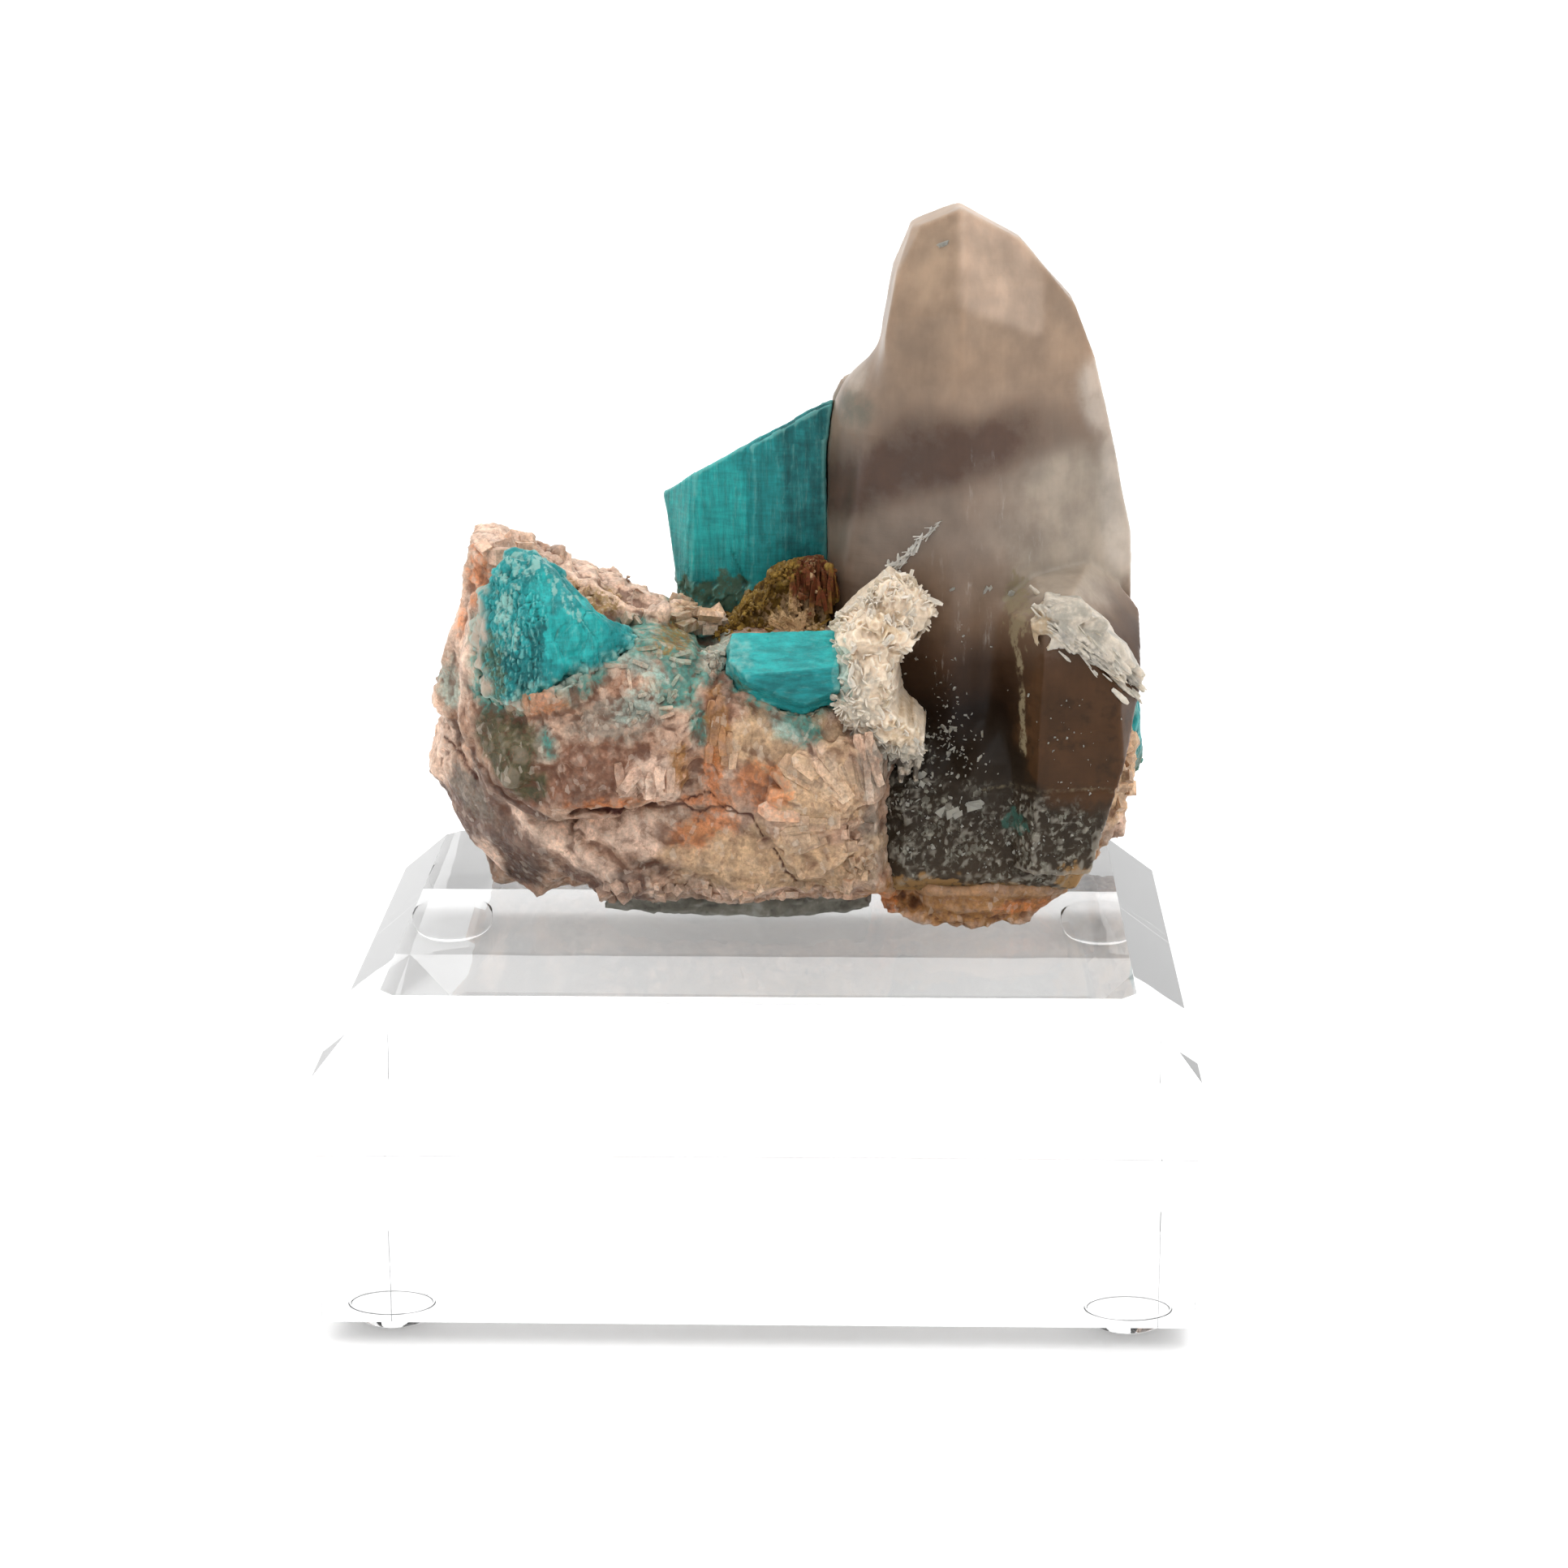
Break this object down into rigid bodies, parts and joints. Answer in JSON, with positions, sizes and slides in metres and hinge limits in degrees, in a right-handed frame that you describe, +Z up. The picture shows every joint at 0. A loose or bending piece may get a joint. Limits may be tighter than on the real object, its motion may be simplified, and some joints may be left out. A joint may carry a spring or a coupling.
{
  "type": "rough amazonite specimen on a block stand",
  "caption": "Teal amazonite and a tall smoky quartz crystal on pale feldspar matrix, set with putty on a bevelled clear block that stands on soft clear feet.",
  "frame": {"origin": "on the surface that the feet stand on, under the middle of the clear block", "axes": "+Z up, +X to the specimen's right as seen from its front, +Y from the front to the back"},
  "size_m": [0.0762, 0.0572, 0.0954],
  "materials": {
    "smoky_quartz": "satiny, cloudy brown, see-through at the edges",
    "amazonite": "waxy teal with pale streaks",
    "matrix": "rough, pink, tan and grey with rust stains",
    "cleavelandite": "cream, fine bladed",
    "limonite": "ochre and brown crust",
    "putty": "dull grey",
    "clear_block": "polished, clear",
    "feet": "smooth, clear, soft"
  },
  "bodies": {
    "root": {"smoky_quartz": "smoky_quartz", "amazonite_crystal_back": "amazonite", "amazonite_crystal_left": "amazonite", "amazonite_crystal_front": "amazonite", "amazonite_crystal_right": "amazonite", "cleavelandite_matrix": "matrix", "cleavelandite_rosette": "cleavelandite", "cleavelandite_crust": "cleavelandite", "rust_stained_cluster": "limonite", "mounting_putty": "putty", "clear_block": "clear_block", "foot_front_left": "feet", "foot_front_right": "feet", "foot_back_left": "feet", "foot_back_right": "feet"}
  },
  "joints": []
}
